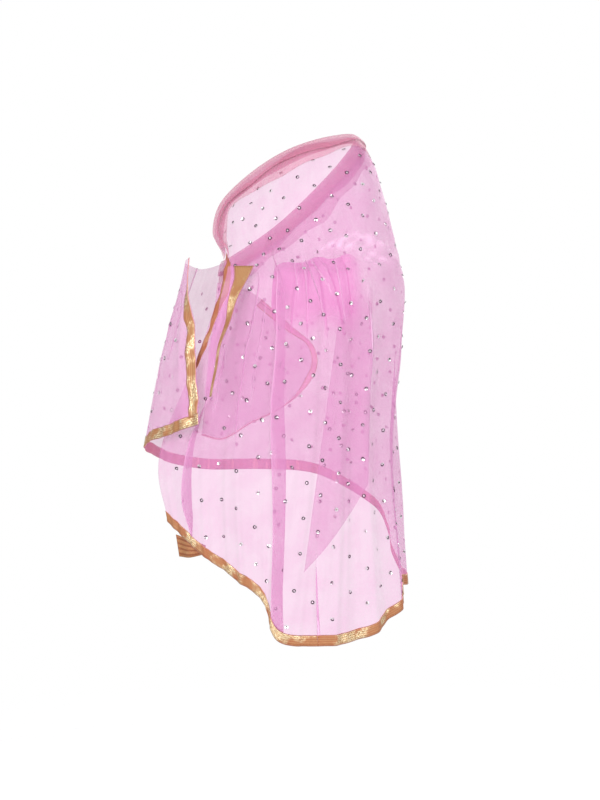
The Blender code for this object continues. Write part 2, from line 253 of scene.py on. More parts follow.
laceLook = {
    "gold": (0.48, 0.255, 0.105, 1),
    "bright": (1.0, 0.84, 0.55, 1),
    "copper": (0.45, 0.125, 0.055, 1),
    "reverse": (1.0, 0.50, 0.36, 1),
    "blush": (0.72, 0.28, 0.33, 1),
    "shade": (0.13, 0.045, 0.008, 1),
    "thinned": (0.86, 0.42, 0.60, 1),
    "width": 0.025,
    "lines": 5,                  # woven stripes in the width
    "twill": (2600.0, 1900.0),   # slant of the weave, along and across
    "flash": (17.0, 22.0),       # the places that catch the light, to a metre
    # patches of painted shade where the gold goes copper, to a metre along and across
    "worn": (26.0, 12.0),
    "fleck": (190.0, 420.0),
    "speck": 900.0,
    "relief": 0.0005,
}


def laceMaterial(name, gilt, glint, shade=0.0, blush=None, stripes=laceLook["lines"]):
    # gilt: how golden the ground is; glint: how much of it flashes; shade: how far it is browned;
    # blush: the stretch, in metres, over which it turns from pink to gold
    t = Tree(name)
    along, across, place = t.clothPlace()
    share = across / laceLook["width"]
    lines = (share * (math.pi * stripes)).sine().size().smooth(0.30, 0.85)
    middle = 1 - ((share - 0.5).size() * 2).smooth(0.45, 0.62)
    twill = (along * laceLook["twill"][0] + across * laceLook["twill"][1]).sine() * 0.5 + 0.5
    edge = (share - 0.5).size().smooth(0.43, 0.47)
    shine = t.stretched(place, *laceLook["flash"], 3.0).smooth(0.45, 0.56) * glint
    # worn marks painted shade: patches where the gold turns copper, as if they caught no light
    worn = t.stretched(place, *laceLook["worn"]).smooth(0.42, 0.6)
    speck = t.noise(place, laceLook["speck"], 1.0).smooth(0.48, 0.66)
    golden = lines * 0.50 + twill * 0.10 + middle * 0.10 - worn * 0.25 + (gilt - 0.02)
    base = t.mix(golden, laceLook["copper"], laceLook["gold"])
    fleck = t.stretched(place, *laceLook["fleck"], 1.0).smooth(0.46, 0.58)
    lit = t.mix(speck * 0.25 + fleck * 0.6 + lines * 0.25, laceLook["gold"], laceLook["bright"])
    colour = t.mix(shine * (1 - edge), base, lit)
    colour = t.mix(edge * 0.5, colour, laceLook["blush"])
    if shade:
        colour = t.mix(speck * shade + (1 - lines) * shade, colour, laceLook["shade"])
    if blush:
        colour = t.mix(1 - along.smooth(*blush), colour, laceLook["blush"])
    bump = t.node("ShaderNodeBump", {}, Strength=0.7, Distance=laceLook["relief"],
                  Height=lines * 0.6 + twill * 0.4 + speck * 0.5)
    return t.set(Base_Color=colour, Metallic=0.25 + shine * 0.5, Roughness=0.5 - shine * 0.2, Normal=bump)


def laceReverse(name, pale=0.0):
    # pale: how far its ground is thinned to the pink of the net, which leaves its edges gilt
    t = Tree(name)
    along, across, place = t.clothPlace()
    lines = (across * (math.pi * laceLook["lines"] / laceLook["width"])).sine().size()
    weave = t.noise(place, 300.0)
    colour = t.mix(lines * 0.3 + weave * 0.4, laceLook["reverse"], laceLook["thinned"])
    if pale:
        edge = (across / laceLook["width"] - 0.5).size().smooth(0.34, 0.46)
        colour = t.mix(pale * (1 - edge), t.mix(pale, colour, laceLook["gold"]), laceLook["thinned"])
    bump = t.node("ShaderNodeBump", {}, Strength=0.5, Distance=0.0004, Height=lines + weave)
    return t.set(Base_Color=colour, Metallic=0.15, Roughness=0.55, Normal=bump)


def sequinMaterials():
    t = Tree("mirrorSequin")
    place = t.objectPlace()
    tone = t.noise(place, 70.0, 0.0)
    fleck = t.noise(place, 230.0, 1.0)
    # painted reflection: tone makes most rims near black and some white, as glints
    colour = t.mix(tone.smooth(0.53, 0.60), (0.045, 0.028, 0.042, 1), (0.95, 0.95, 0.96, 1))
    # and fleck adds small painted glints on the rims
    colour = t.mix(fleck.smooth(0.58, 0.66), colour, (0.80, 0.74, 0.78, 1))
    rim = t.set(Base_Color=colour, Metallic=0.9, Roughness=0.16 + fleck * 0.1)
    t = Tree("sequinEye")
    place = t.objectPlace()
    tone = t.noise(place, 70.0, 0.0)
    fleck = t.noise(place, 500.0, 1.0)
    # the eye's colour goes with the rim's painted reflection: pale pink under dark rims, brown under white
    # ones
    colour = t.mix(tone.smooth(0.53, 0.60), (0.88, 0.66, 0.80, 1), (0.20, 0.11, 0.10, 1))
    eye = t.set(Base_Color=colour, Metallic=0.5, Roughness=0.30 + fleck * 0.1)
    return rim, eye


def floorMaterial():
    t = Tree("paleFloor")
    place = t.objectPlace()
    reach = t.node("ShaderNodeVectorMath", {"operation": "LENGTH"}, place, out=1)
    fade = 1 - (reach / view["floorReach"]).smooth(0.3, 1.0)
    grain = t.noise(place, 3.0)
    return t.set(Base_Color=t.mix(grain, (0.90, 0.90, 0.90, 1), (0.93, 0.93, 0.93, 1)),
                 Roughness=0.7, Alpha=fade)


def addFloor():
    ground = -layout["shoulder"][2]
    bpy.ops.mesh.primitive_circle_add(vertices=96, radius=view["floorReach"], fill_type="NGON")
    floor = bpy.context.object
    floor.name = "floor"
    bpy.ops.object.mode_set(mode="EDIT")
    bpy.ops.mesh.select_all(action="SELECT")
    bpy.ops.transform.translate(value=(0, 0, ground))
    bpy.ops.object.mode_set(mode="OBJECT")
    floor.data.materials.append(floorMaterial())
    floor.select_set(False)


studio = {
    "backdrop": (1, 1, 1, 1),
    "air": (0.93, 0.93, 0.95, 1),
    "airStrength": 0.78,
    "clearLayers": 48,          # how many layers of net a ray may go through
}


def addWorld():
    world = bpy.data.worlds.new("studio")
    world.use_nodes = True
    bpy.context.scene.world = world
    nodes, links = world.node_tree.nodes, world.node_tree.links
    back = nodes["Background"]
    white = nodes.new("ShaderNodeBackground")
    white.inputs["Color"].default_value = studio["backdrop"]
    white.inputs["Strength"].default_value = 1.0
    back.inputs["Color"].default_value = studio["air"]
    back.inputs["Strength"].default_value = studio["airStrength"]
    seen = nodes.new("ShaderNodeLightPath")
    mix = nodes.new("ShaderNodeMixShader")
    links.new(seen.outputs["Is Camera Ray"], mix.inputs[0])
    links.new(back.outputs[0], mix.inputs[1])
    links.new(white.outputs[0], mix.inputs[2])
    links.new(mix.outputs[0], nodes["World Output"].inputs["Surface"])
    bpy.context.scene.view_settings.view_transform = "Standard"
    bpy.context.scene.cycles.transparent_max_bounces = studio["clearLayers"]


addCamera()
addLights()
addFloor()
addWorld()
print("camera, lights and floor are in")

# the drape: each course runs round the figure at its own height,
# and a fall is one of the lines that hang down through all the courses;
# falls 0 to 8 hang from the hand over the chest to behind the left arm
courses = [
    # name, share of the way down, along, behind, height
    ("neckEdge", 0.00,
     (-0.195, -0.216, -0.200, -0.135, -0.053, 0.028, 0.097, 0.108, 0.092),
     (-0.150, -0.020, 0.030, -0.010, -0.050, -0.060, -0.020, 0.030, 0.080),
     (1.225, 1.267, 1.341, 1.403, 1.452, 1.480, 1.494, 1.487, 1.465)),
    ("collarBone", 0.06,
     (-0.190, -0.198, -0.185, -0.128, -0.050, 0.035, 0.115, 0.148, 0.130),
     (-0.158, -0.055, -0.010, -0.047, -0.095, -0.110, -0.090, -0.020, 0.060),
     (1.218, 1.262, 1.330, 1.374, 1.410, 1.435, 1.455, 1.435, 1.420)),
    ("bust", 0.14,
     (-0.186, -0.178, -0.160, -0.112, -0.045, 0.040, 0.125, 0.172, 0.162),
     (-0.168, -0.105, -0.075, -0.105, -0.145, -0.165, -0.150, -0.070, 0.030),
     (1.208, 1.248, 1.306, 1.330, 1.345, 1.360, 1.365, 1.350, 1.340)),
    ("topOfForearm", 0.27,
     (-0.188, -0.160, -0.127, -0.085, -0.030, 0.040, 0.120, 0.203, 0.196),
     (-0.186, -0.184, -0.188, -0.194, -0.200, -0.205, -0.205, -0.120, -0.010),
     (1.185, 1.195, 1.199, 1.201, 1.207, 1.215, 1.220, 1.200, 1.195)),
    ("frontOfForearm", 0.32,
     (-0.195, -0.155, -0.112, -0.070, -0.020, 0.050, 0.125, 0.212, 0.206),
     (-0.200, -0.225, -0.238, -0.245, -0.250, -0.250, -0.235, -0.140, -0.020),
     (1.140, 1.145, 1.150, 1.150, 1.150, 1.150, 1.150, 1.140, 1.135)),
    ("hip", 0.47,
     (-0.241, -0.185, -0.125, -0.070, -0.010, 0.060, 0.130, 0.202, 0.204),
     (-0.190, -0.222, -0.238, -0.245, -0.245, -0.240, -0.215, -0.130, -0.020),
     (1.000, 1.000, 1.000, 1.000, 1.000, 1.000, 1.000, 1.000, 1.000)),
    ("knee", 0.68,
     (-0.335, -0.255, -0.170, -0.090, -0.020, 0.055, 0.120, 0.182, 0.190),
     (-0.130, -0.188, -0.222, -0.235, -0.235, -0.230, -0.205, -0.130, -0.020),
     (0.770, 0.780, 0.780, 0.780, 0.780, 0.780, 0.780, 0.780, 0.790)),
    ("hem", 1.00,
     (-0.318, -0.241, -0.162, -0.102, -0.068, 0.035, 0.138, 0.208, 0.216),
     (-0.140, -0.190, -0.215, -0.225, -0.230, -0.225, -0.190, -0.120, -0.020),
     (0.612, 0.543, 0.487, 0.439, 0.352, 0.341, 0.360, 0.416, 0.455)),
]

# falls 9 to 17 go on across the back and round the right side to the free end
backFalls = [
    # name, top, middle, hem
    ("behindArm", (0.065, 0.115, 1.435), (0.178, 0.090, 0.980), (0.221, 0.078, 0.468)),
    ("leftBlade", (0.010, 0.150, 1.380), (0.115, 0.170, 0.980), (0.165, 0.140, 0.620)),
    ("middleBack", (-0.060, 0.165, 1.315), (0.000, 0.200, 1.000), (0.030, 0.190, 0.705)),
    ("rightBlade", (-0.130, 0.155, 1.260), (-0.120, 0.190, 0.990), (-0.110, 0.180, 0.720)),
    ("rightHip", (-0.200, 0.090, 1.210), (-0.240, 0.130, 0.970), (-0.250, 0.120, 0.722)),
    ("behindTurn", (-0.245, 0.000, 1.190), (-0.325, 0.035, 0.970), (-0.345, 0.020, 0.750)),
    ("turn", (-0.275, -0.085, 1.195), (-0.335, -0.075, 0.980), (-0.374, -0.070, 0.778)),
    ("frontOfTail", (-0.277, -0.140, 1.200), (-0.308, -0.175, 0.970), (-0.318, -0.175, 0.806)),
    ("freeEnd", (-0.265, -0.175, 1.205), (-0.258, -0.225, 0.990), (-0.243, -0.225, 0.832)),
]


def spot(places, x):
    # the span that x falls in, and how far along it
    k = np.clip(np.searchsorted(places, x, side="right") - 1, 0, len(places) - 2)
    return k, (x - places[k]) / (places[k + 1] - places[k])


def smoothRead(read, places, x):
    # a smooth curve through what read(index) gives at each place, read at many x
    places = np.asarray(places, float)
    x = np.asarray(x, float)
    k, f = spot(places, x)
    last = len(places) - 1
    before, after = np.clip(k - 1, 0, last), np.clip(k + 2, 0, last)
    p0, p1, p2, p3 = read(before), read(k), read(k + 1), read(after)
    span = places[k + 1] - places[k]
    slope1 = (p2 - p0) * (span / (places[k + 1] - places[before]))[..., None]
    slope2 = (p3 - p1) * (span / (places[after] - places[k]))[..., None]
    f = f[..., None]
    return ((2 * f ** 3 - 3 * f ** 2 + 1) * p1 + (f ** 3 - 2 * f ** 2 + f) * slope1
            + (3 * f ** 2 - 2 * f ** 3) * p2 + (f ** 3 - f ** 2) * slope2)


courseDowns = np.array([course[1] for course in courses])


def makeStations():
    rows = []
    for name, down, along, behind, height in courses:
        front = np.stack([along, behind, height], axis=1)
        back = [smoothRead(lambda k: np.array(fall[1:])[k], (0.0, 0.5, 1.0), np.array([down]))[0]
                for fall in backFalls]
        rows.append(np.vstack([front, back]))
    return np.array(rows)


stations = makeStations()
lastFall = stations.shape[1] - 1


def drapeAt(fall, down):
    # the drape without its folds
    fall = np.clip(fall, 0, lastFall)
    places = np.arange(lastFall + 1)
    return smoothRead(lambda c: smoothRead(lambda k: stations[c, k], places, fall), courseDowns, down)


def unit(v):
    return v / np.maximum(np.linalg.norm(v, axis=-1, keepdims=True), 1e-12)


def outwardAt(fall, down):
    step = 0.04
    across = drapeAt(fall + step, down) - drapeAt(fall - step, down)
    d = np.clip(down, 0.01, 0.99)
    below = drapeAt(fall, d + 0.01) - drapeAt(fall, d - 0.01)
    return unit(np.cross(below, across))


def ease(x, low, high):
    x = np.clip((x - low) / (high - low), 0, 1)
    return x * x * (3 - 2 * x)


def window(x, first, last, soft):
    return ease(x, first, first + soft) * (1 - ease(x, last - soft, last))


# soft troughs and ridges: at and lean count falls, out is in metres, first and last are shares down
ridges = [
    # at, lean, width, out, first, last
    (1.60, 0.10, 0.22, -0.008, 0.40, 1.40),
    (2.10, 0.20, 0.13, 0.006, 0.34, 1.40),
    (4.60, -0.05, 0.14, -0.010, 0.27, 1.40),
    (5.15, 0.10, 0.16, 0.012, 0.26, 1.40),
    (5.60, 0.20, 0.18, -0.009, 0.28, 1.40),
    (6.05, 0.15, 0.16, 0.010, 0.28, 1.40),
    (6.50, 0.00, 0.20, -0.008, 0.30, 1.40),
    (6.95, -0.10, 0.18, 0.009, 0.33, 1.40),
    (8.60, 0.20, 0.26, 0.010, 0.22, 1.40),
    (9.30, 0.25, 0.22, -0.009, 0.16, 1.40),
    (9.95, 0.15, 0.20, 0.011, 0.12, 1.40),
    (10.55, 0.10, 0.22, -0.009, 0.18, 1.40),
    (11.15, 0.00, 0.20, 0.010, 0.10, 1.40),
    (11.80, -0.10, 0.24, -0.009, 0.16, 1.40),
    (12.40, -0.20, 0.20, 0.010, 0.12, 1.40),
    (13.00, -0.15, 0.22, -0.008, 0.20, 1.40),
    (13.60, 0.00, 0.22, 0.009, 0.15, 1.40),
    (14.30, 0.05, 0.20, -0.006, 0.25, 1.40),
    (15.50, 0.10, 0.18, 0.006, 0.15, 1.40),
    (16.05, 0.15, 0.16, -0.006, 0.05, 1.40),
    (16.50, 0.10, 0.12, 0.005, 0.02, 1.40),
    (17.05, 0.00, 0.32, 0.006, -0.04, 0.34),
    (17.05, 0.00, 0.32, -0.011, 0.18, 0.98),
]

# tucks, where the cloth doubles back on itself. Each runs down a path of (share down, fall);
# lap is how far it laps over in metres at its top and foot, and width is in falls
tucks = [
    # path, width, lap at top, lap at foot, depth, first, last, softness of its ends
    (((0.50, 1.04), (0.70, 0.88), (0.86, 0.76)), 0.17, 0.004, 0.018, 0.0035, 0.46, 1.04, 0.18),
    (((0.25, 3.20), (0.36, 3.10), (0.58, 3.17), (0.68, 3.32), (0.92, 3.70), (1.0, 3.9)),
     0.26, 0.024, 0.036, 0.0040, 0.20, 1.30, 0.16),
    (((0.27, 2.16), (0.47, 1.75), (0.66, 2.10)), 0.06, 0.005, 0.003, 0.0016, 0.25, 0.72, 0.10),
    (((0.30, 2.50), (0.50, 2.22), (0.64, 2.42)), 0.06, 0.003, 0.003, 0.0014, 0.30, 0.62, 0.10),
    (((0.46, 0.98), (0.58, 1.30)), 0.07, 0.005, 0.003, 0.0016, 0.44, 0.62, 0.06),
    (((0.86, 4.70), (0.99, 4.88)), 0.07, 0.003, 0.005, 0.0016, 0.82, 1.10, 0.08),
    (((0.34, 6.05), (0.56, 6.10)), 0.07, 0.005, 0.004, 0.0018, 0.30, 0.60, 0.10),
    (((0.27, 3.98), (0.30, 3.88), (0.34, 3.91)), 0.05, 0.003, 0.001, 0.0016, 0.262, 0.36, 0.03),
    (((0.27, 4.14), (0.30, 4.23), (0.36, 4.20), (0.40, 4.15)),
     0.06, 0.0035, 0.001, 0.0018, 0.262, 0.42, 0.03),
    (((0.27, 4.26), (0.30, 4.40), (0.36, 4.60), (0.40, 4.68), (0.46, 4.66)),
     0.06, 0.004, 0.001, 0.0018, 0.262, 0.48, 0.03),
    (((0.27, 4.36), (0.30, 4.66), (0.34, 4.95)), 0.05, 0.003, 0.001, 0.0016, 0.262, 0.36, 0.03),
    (((0.28, 5.20), (0.40, 5.32)), 0.06, 0.005, 0.001, 0.0016, 0.262, 0.42, 0.04),
    (((0.05, 14.90), (0.60, 14.75)), 0.12, 0.010, 0.004, 0.0035, -0.30, 0.62, 0.20),
    (((0.05, 14.30), (0.60, 14.10)), 0.12, 0.010, 0.004, 0.0035, -0.30, 0.55, 0.20),
]

# puffs where the cloth is pushed up over the bend of the arm
puffs = [
    # fall, share down, spread across in falls, spread down, out in metres
    (5.20, 0.262, 0.30, 0.014, 0.006),
    (5.75, 0.258, 0.22, 0.010, 0.009),
    (6.15, 0.272, 0.26, 0.012, -0.009),
    (6.45, 0.256, 0.20, 0.010, 0.010),
    (6.75, 0.276, 0.22, 0.012, 0.008),
    (6.30, 0.296, 0.30, 0.012, 0.007),
    (5.55, 0.290, 0.25, 0.012, -0.007),
]

# creases that run across at the bend of the arm: points of (fall, share down) on each
creases = [
    ((5.0, 0.252), (5.8, 0.246), (6.6, 0.262)),
    ((5.3, 0.264), (6.0, 0.267), (6.8, 0.286)),
    ((5.6, 0.238), (6.3, 0.245), (6.9, 0.268)),
    ((5.8, 0.278), (6.2, 0.286), (6.5, 0.302)),
    ((4.5, 0.262), (5.2, 0.258), (5.7, 0.272)),
]


def creaseAt(fall, down):
    near = np.zeros_like(fall)
    for crease in creases:
        level = np.interp(fall, *zip(*crease))
        near += np.exp(-((down - level) / 0.0045) ** 2) * window(fall, crease[0][0], crease[-1][0], 0.35)
    return near


slimTuck = 0.1       # a tuck narrower than this is one line of light


def foldLightAt(x, down, folds):
    # where a tuck's front edge gets a painted highlight, as if it caught the light
    light = np.zeros_like(x)
    for path, width, _, _, _, first, last, soft in folds:
        xi = (x - np.interp(down, *zip(*path))) / width
        near = window(down, first, last, soft)
        if width < slimTuck:
            light += near * np.exp(-(xi / 0.7) ** 2)
        else:
            light += near * (0.8 * np.exp(-((xi - 0.57) / 0.12) ** 2) + 0.25 * np.exp(-(xi / 0.8) ** 4))
    return light


def tucked(x, down, folds, each):
    # how far a set of tucks draws the cloth sideways, and how far it lifts it; each: metres in one x
    shift, lift = np.zeros_like(x), np.zeros_like(x)
    for path, width, lapTop, lapFoot, depth, first, last, soft in folds:
        at = np.interp(down, *zip(*path))
        xi = (x - at) / width
        share = ease(down, max(first, path[0][0]), min(last, path[-1][0]))
        near = window(down, first, last, soft)
        lap = (lapTop * (1 - share) + lapFoot * share) * near
        pull = width * near * 0.9 + lap / each / 0.7
        shift -= pull * xi * np.exp(-xi ** 2)
        lift += depth * near * np.tanh(1.5 * xi) * np.exp(-(xi / 2.5) ** 2)
    return shift, lift


# crumple too fine to place fold by fold: each height in metres, then its waves to a fall and down
crumple = {
    "depth": 0.004,                         # of the creases at the bend of the arm
    "wander": (0.12, 1.7, 5.0),             # how far the small pleats stray, in falls
    "smallPleats": (0.0011, 17.0, 0.0),
    "finePleats": (0.0008, 29.0, 4.0),
    "elbowDrag": (0.0030, 9.0, 170.0),
    "overArm": (0.0020, 24.0, 0.0),
    "chest": (0.0012, 6.0, 55.0),
    "elbow": (6.2, 0.265),                  # where the arm bends: fall, share down
    "elbowSpread": (1.1, 0.035),
    "armTop": (0.27, 0.03),                 # where the cloth goes over it: share down, spread
}


def ripple(kind, fall, down):
    height, byFall, byDown = crumple[kind]
    return height * np.sin(byFall * fall + byDown * down)


def foldedAt(fall, down):
    # the drape with its tucks, folds and fine crumple
    shift, lift = tucked(fall, down, tucks, layout["fallWidth"])
    for at, lean, width, out, first, last in ridges:
        xi = (fall - at - lean * (down - 0.5)) / width
        lift += out * np.exp(-xi ** 2) * window(down, first, last, 0.18)
    for at, level, across, tall, out in puffs:
        lift += out * np.exp(-((fall - at) / across) ** 2 - ((down - level) / tall) ** 2)
    lift += crumple["depth"] * creaseAt(fall, down)
    # small pleats that wander, and drag lines at the bend of the arm
    wander = fall + ripple("wander", fall, down)
    lift += ripple("smallPleats", wander, down) * ease(down, 0.28, 0.5)
    lift += ripple("finePleats", wander, down) * ease(down, 0.3, 0.8)
    elbow, elbowDown = crumple["elbow"]
    across, tall = crumple["elbowSpread"]
    atElbow = np.exp(-((fall - elbow) / across) ** 2 - ((down - elbowDown) / tall) ** 2)
    lift += ripple("elbowDrag", fall, down) * atElbow
    armTop, soft = crumple["armTop"]
    lift += (ripple("overArm", fall, down) * np.exp(-((down - armTop) / soft) ** 2)
             * window(fall, 2.6, 6.0, 0.5))
    lift += ripple("chest", fall, down) * window(down, 0.02, 0.26, 0.06) * window(fall, 1.5, 7.5, 1.0)
    return drapeAt(fall + shift, down) + lift[..., None] * outwardAt(fall + shift, down)


fineDowns = np.linspace(0, 1, 161)


def lengthsDown(fall):
    # for each fall, its length from the top edge to each of the fine shares down
    run = drapeAt(np.repeat(fall[:, None], len(fineDowns), 1), np.repeat(fineDowns[None], len(fall), 0))
    steps = np.linalg.norm(np.diff(run, axis=1), axis=-1)
    return np.concatenate([np.zeros((len(fall), 1)), np.cumsum(steps, axis=1)], axis=1)


def patch(fall, marks):
    # a grid of the drape: marks(length) gives the distances down each fall
    lengths = lengthsDown(fall)
    distances = np.array([marks(run[-1]) for run in lengths])
    downs = np.array([np.interp(d, run, fineDowns) for d, run in zip(distances, lengths)])
    falls = np.repeat(fall[:, None], downs.shape[1], 1)
    return falls, downs, distances


def gridNormals(grid):
    return unit(np.cross(np.gradient(grid, axis=1), np.gradient(grid, axis=0)))


def lengthsAlong(line):
    # the length of a line of points up to each of them
    return np.concatenate([[0], np.cumsum(np.linalg.norm(np.diff(line, axis=0), axis=-1))])


def runAcross(grid):
    # how far along the cloth each column is
    steps = np.linalg.norm(np.diff(grid, axis=0), axis=-1).mean(axis=1)
    return np.concatenate([[0], np.cumsum(steps)])


def shell(name, grid, place, material, thick, lift=0.0, inside=None, light=None):
    # a closed thin wall on a grid of points, with its place on the flat cloth as the map;
    # inside: the look of its other side; light: how much painted highlight each point gets
    columns, rows = grid.shape[:2]
    normals = gridNormals(grid)
    skins = [toRow(grid + normals * (lift + thick * side)) for side in (0.5, -0.5)]
    points = np.concatenate([skin.reshape(-1, 3) for skin in skins])
    at = np.arange(columns * rows).reshape(columns, rows)
    under = columns * rows
    a, b, c, d = at[:-1, :-1], at[:-1, 1:], at[1:, 1:], at[1:, :-1]
    faces = [np.stack([a, b, c, d], -1).reshape(-1, 4), np.stack([d, c, b, a], -1).reshape(-1, 4) + under]
    rim = np.concatenate([at[0, :], at[1:, -1], at[-1, -2::-1], at[-2:0:-1, 0]])
    on = np.roll(rim, -1)
    faces.append(np.stack([on, rim, rim + under, on + under], -1))
    faces = np.concatenate(faces)
    mesh = bpy.data.meshes.new(name)
    mesh.from_pydata(points.tolist(), [], faces.tolist())
    flat = np.tile(place.reshape(-1, 2), (2, 1))
    layer = mesh.uv_layers.new(name="cloth")
    layer.data.foreach_set("uv", flat[faces.reshape(-1)].astype(np.float32).reshape(-1))
    mesh.shade_smooth()
    mesh.materials.append(material)
    if inside:
        mesh.materials.append(inside)
        skin = (columns - 1) * (rows - 1)
        mesh.polygons.foreach_set("material_index", [0] * skin + [1] * (len(faces) - skin))
    if light is not None:
        values = np.tile(np.clip(light, 0, 1).reshape(-1), 2).astype(np.float32)
        mesh.attributes.new("foldLight", "FLOAT", "POINT").data.foreach_set("value", values)
    piece = bpy.data.objects.new(name, mesh)
    bpy.context.scene.collection.objects.link(piece)
    return piece


def flatPlaces(across, down):
    # the flat place of each grid point; down is the same for all columns, or a row for each
    down = np.broadcast_to(down, (len(across), down.shape[-1]))
    return np.stack([np.repeat(across[:, None], down.shape[1], 1), down], -1)


def ribbonPlaces(along, cells):
    # the same for lace whose columns run its length, and whose rows cross it
    across = np.linspace(0, wornNet["lace"], cells + 1)
    return np.stack([np.repeat(along[None], cells + 1, 0), np.repeat(across[:, None], len(along), 1)], -1)


def dress(piece, nodes):
    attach(piece, "root")
    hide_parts(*nodes)
    return piece


# mirror sequins: one is modelled, and copied onto a half-drop pattern
sequin = {
    "radius": 0.0043,
    "eye": 0.0019,
    "hole": 0.0008,
    "dish": 0.0008,
    "thick": 0.00025,
    "repeat": 0.080,       # the pattern repeats this far both ways, with one more in the middle
    "start": (0.25, 0.30), # where it starts, in repeats from the first edge and from the top
    "sewnError": 0.0018,
    "clear": 0.030,        # the least distance between two
    "tilt": 0.22,
}


def makeSequin():
    bpy.ops.mesh.primitive_circle_add(vertices=10, radius=sequin["radius"], fill_type="NOTHING")
    disc = bpy.context.object
    bpy.ops.object.mode_set(mode="EDIT")
    bpy.ops.mesh.select_all(action="SELECT")
    bpy.ops.mesh.extrude_edges_move()
    share = sequin["eye"] / sequin["radius"]
    bpy.ops.transform.resize(value=(share, share, 1))
    bpy.ops.transform.translate(value=(0, 0, -sequin["dish"]))
    bpy.ops.mesh.extrude_edges_move()
    share = sequin["hole"] / sequin["eye"]
    bpy.ops.transform.resize(value=(share, share, 1))
    bpy.ops.mesh.select_all(action="SELECT")
    bpy.ops.mesh.normals_make_consistent(inside=False)
    bpy.ops.object.mode_set(mode="OBJECT")
    solid = disc.modifiers.new("thickness", "SOLIDIFY")
    solid.thickness = sequin["thick"]
    bpy.ops.object.modifier_apply(modifier=solid.name)
    points = np.array([v.co[:] for v in disc.data.vertices])
    faces = [tuple(p.vertices) for p in disc.data.polygons]
    reach = np.linalg.norm(points[:, :2], axis=1)
    inEye = [int(reach[list(face)].max() < sequin["eye"] * 1.05) for face in faces]
    bpy.data.objects.remove(disc)
    points[:, 2] += sequin["dish"] + sequin["thick"]
    return points, faces, inEye


def sequinSpots(width, length, seed):
    # half-drop places over a flat cloth, with a small hand-sewn error
    chance = np.random.default_rng(seed)
    step = sequin["repeat"]
    spots = []
    for middle in (0, 0.5):
        for u in np.arange(step * (sequin["start"][0] + middle), width, step):
            for v in np.arange(step * (sequin["start"][1] + middle), length, step):
                spots.append((u, v))
    spots = np.array(spots)
    return spots + chance.normal(0, sequin["sewnError"], spots.shape), chance


def addSequins(name, grid, across, down, edges, seed):
    # edges: how far to stay from the first column, last column, top and foot
    spots, chance = sequinSpots(across[-1], down.max(), seed)
    normals = gridNormals(grid)
    points, faces, inEye = sequinShape
    allPoints, allFaces, taken = [], [], []
    for u, v in spots:
        column = np.interp(u, across, np.arange(len(across)))
        i = int(min(column, len(across) - 2))
        f = column - i
        lane = down[i]
        if not (edges[0] < u < across[-1] - edges[1] and edges[2] < v < lane[-1] - edges[3]):
            continue
        row = np.interp(v, lane, np.arange(len(lane)))
        j = int(min(row, len(lane) - 2))
        g = row - j
        square = grid[i:i + 2, j:j + 2]
        centre = ((square[0, 0] * (1 - f) + square[1, 0] * f) * (1 - g)
                  + (square[0, 1] * (1 - f) + square[1, 1] * f) * g)
        if taken and np.linalg.norm(np.array(taken) - centre, axis=1).min() < sequin["clear"]:
            continue
        taken.append(centre)
        out = unit(normals[i, j] + chance.normal(0, sequin["tilt"], 3))
        side = unit(np.cross(out, np.array([0.0, 0.0, 1.0]) + 0.01))
        up = np.cross(out, side)
        turned = points[:, :1] * side + points[:, 1:2] * up + points[:, 2:] * out
        base = len(allPoints) * len(points)
        allPoints.append(toRow(centre + normals[i, j] * (wall["net"] * 0.9) + turned))
        allFaces += [tuple(base + k for k in face) for face in faces]
    mesh = bpy.data.meshes.new(name)
    mesh.from_pydata(np.concatenate(allPoints).tolist(), [], allFaces)
    for look in sequinLooks:
        mesh.materials.append(look)
    mesh.polygons.foreach_set("material_index", inEye * len(allPoints))
    piece = bpy.data.objects.new(name, mesh)
    bpy.context.scene.collection.objects.link(piece)
    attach(piece, "root")
    print(name, len(allPoints), "sequins")
    return piece


sequinShape = makeSequin()
sequinLooks = sequinMaterials()
net = netMaterial("pinkNet")
rosyNet = netMaterial("rosyNet", tone="rosePink", cover=1.1)
hemLace = laceMaterial("hemLace", gilt=0.12, glint=1.0, shade=0.10)
tailLace = laceMaterial("tailLace", gilt=0.36, glint=1.2, blush=(0.03, 0.075), shade=0.15)
leafLace = laceMaterial("leafLace", gilt=0.45, glint=0.9, shade=0.30, stripes=11)
reverse = laceReverse("laceReverse")
paleReverse = laceReverse("paleReverse", pale=0.75)
leadLace = laceMaterial("copperLace", gilt=-0.12, glint=0.3)
cornerLace = laceMaterial("cornerLace", gilt=0.1, glint=0.3, shade=0.40)
print("materials are made")

# the worn net, from the held lead edge round the arm and back to the free end
wornNet = {
    "columns": ((0.0, 0.5, 14), (0.5, 5.6, 276), (5.6, 8.0, 60), (8.0, 13.6, 62), (13.6, 17.0, 74)),
    "rows": 92,
    "lace": 0.025,
    "flat": (0.85, 1.60),
}


def spread(spans):
    parts = [np.linspace(a, b, n, endpoint=False) for a, b, n in spans]
    return np.append(np.concatenate(parts), spans[-1][1])


def addWornNet():
    fall = spread(wornNet["columns"])
    rows = wornNet["rows"]
    falls, downs, down = patch(fall, lambda length: np.linspace(0, length, rows + 1))
    # painted highlight along the tucks and along the creases at the bend of the arm
    light = foldLightAt(falls, downs, tucks) + 0.7 * creaseAt(falls, downs)
    grid = foldedAt(falls, downs)
    across = runAcross(grid)
    piece = shell("wornNet", grid, flatPlaces(across, down), net, wall["net"], light=light)
    dress(piece, ["front_drape", "back_drape", "tail_drape"])
    dots = addSequins("wornSequins", grid, across, down, (0.03, 0.03, 0.045, 0.035), 3)
    return piece, dots


laceBand = {
    "cells": 4,
    "sideRows": 90,
    "reach": np.linspace(0, 1.2, 40),   # falls in from an upright edge, far enough for its lace
    "lift": (wall["net"] + wall["lace"]) / 2 + wall["gap"],
}


